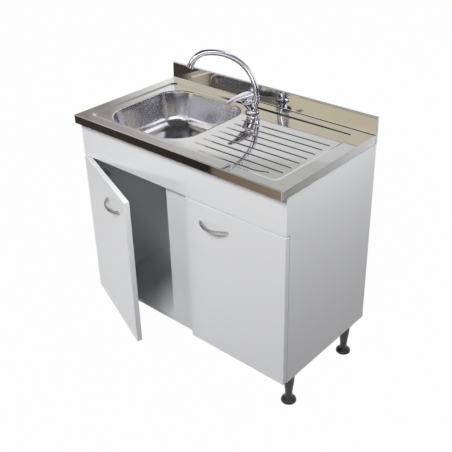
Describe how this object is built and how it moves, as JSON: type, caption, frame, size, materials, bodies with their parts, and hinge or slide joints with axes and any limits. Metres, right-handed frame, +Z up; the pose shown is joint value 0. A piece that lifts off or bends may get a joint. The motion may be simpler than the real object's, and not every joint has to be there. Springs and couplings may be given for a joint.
{
  "type": "kitchen sink unit",
  "caption": "Free-standing sink base unit: stainless top with bowl, ribbed drainer and low upstand, swan-neck mixer tap, bottle trap, hinged doors and adjustable legs.",
  "frame": {"origin": "On the floor, at the middle of the plan that the unit covers with its left door ajar as pictured", "axes": "+X along the front towards the drainer, +Y back towards the wall, +Z up"},
  "size_m": [0.9, 0.6262, 1.081],
  "materials": {
    "steel": "polished",
    "satin_steel": "satin",
    "chrome": "mirror",
    "nickel": "satin",
    "brass": "plain",
    "rubber": "matte",
    "white_plastic": "satin",
    "black_plastic": "satin",
    "white_board": "satin laminate",
    "back_board": "matte"
  },
  "bodies": {
    "cabinet": {"sink_deck": "steel", "sink_bowl": "satin_steel", "overflow_rosette": "chrome", "waste_cup": "satin_steel", "waste_gasket": "rubber", "waste_body": "white_plastic", "overflow_pipe": "white_plastic", "trap_inlet": "white_plastic", "trap_nut": "white_plastic", "trap_bottle": "white_plastic", "trap_cup": "white_plastic", "trap_outlet": "white_plastic", "tap_gasket": "rubber", "tap_body": "chrome", "mixer_cartridge": "white_plastic", "cartridge_nut": "chrome", "spout_collar": "chrome", "tap_shank": "brass", "clamp_plate": "satin_steel", "tap_backnut": "brass", "hot_inlet": "brass", "cold_inlet": "brass", "side_panel_left": "white_board", "side_panel_right": "white_board", "base_panel": "white_board", "front_fascia": "white_board", "centre_stile": "white_board", "rear_rail": "white_board", "back_panel": "back_board", "left_lower_hinge_arm": "nickel", "left_upper_hinge_arm": "nickel", "right_lower_hinge_arm": "nickel", "right_upper_hinge_arm": "nickel", "front_left_leg_socket": "black_plastic", "front_left_leg": "black_plastic", "front_right_leg_socket": "black_plastic", "front_right_leg": "black_plastic", "rear_left_leg_socket": "black_plastic", "rear_left_leg": "black_plastic", "rear_right_leg_socket": "black_plastic", "rear_right_leg": "black_plastic"},
    "left_door": {"left_door": "white_board", "left_handle": "nickel", "left_lower_hinge_cup": "nickel", "left_upper_hinge_cup": "nickel"},
    "right_door": {"right_door": "white_board", "right_handle": "nickel", "right_lower_hinge_cup": "nickel", "right_upper_hinge_cup": "nickel"},
    "spout": {"spout": "chrome", "aerator": "chrome"},
    "lever_guide": {"lever_guide": "brass"},
    "lever": {"lever": "chrome", "lever_stem": "brass"},
    "strainer": {"strainer_basket": "satin_steel"},
    "front_left_foot": {"front_left_foot": "black_plastic"},
    "front_right_foot": {"front_right_foot": "black_plastic"},
    "rear_left_foot": {"rear_left_foot": "black_plastic"},
    "rear_right_foot": {"rear_right_foot": "black_plastic"}
  },
  "joints": [
    {"name": "left_door_hinge", "type": "hinge", "parent": "cabinet", "child": "left_door", "pos_m": [-0.448, -0.16289, 0.4095], "axis": [0, 0, -1], "range_deg": [-22, 88]},
    {"name": "right_door_hinge", "type": "hinge", "parent": "cabinet", "child": "right_door", "pos_m": [0.448, -0.16289, 0.4095], "axis": [0, 0, 1], "range_deg": [0, 110]},
    {"name": "spout_swivel", "type": "hinge", "parent": "cabinet", "child": "spout", "pos_m": [0.014, 0.23711, 0.89], "axis": [0, 0, 1], "continuous": true},
    {"name": "mixer_turn", "type": "hinge", "parent": "cabinet", "child": "lever_guide", "pos_m": [0.014, 0.19129, 0.9013], "axis": [0, -0.4695, 0.8829], "range_deg": [-45, 45]},
    {"name": "lever_lift", "type": "hinge", "parent": "lever_guide", "child": "lever", "pos_m": [0.014, 0.19129, 0.9013], "axis": [-1, 0, 0], "range_deg": [0, 22]},
    {"name": "strainer_lift", "type": "slide", "parent": "cabinet", "child": "strainer", "axis": [0, 0, 1], "range_m": [0, 0.06]},
    {"name": "front_left_foot_screw", "type": "slide", "parent": "cabinet", "child": "front_left_foot", "axis": [0, 0, -1], "range_m": [0, 0.015]},
    {"name": "front_right_foot_screw", "type": "slide", "parent": "cabinet", "child": "front_right_foot", "axis": [0, 0, -1], "range_m": [0, 0.015]},
    {"name": "rear_left_foot_screw", "type": "slide", "parent": "cabinet", "child": "rear_left_foot", "axis": [0, 0, -1], "range_m": [0, 0.015]},
    {"name": "rear_right_foot_screw", "type": "slide", "parent": "cabinet", "child": "rear_right_foot", "axis": [0, 0, -1], "range_m": [0, 0.015]}
  ]
}
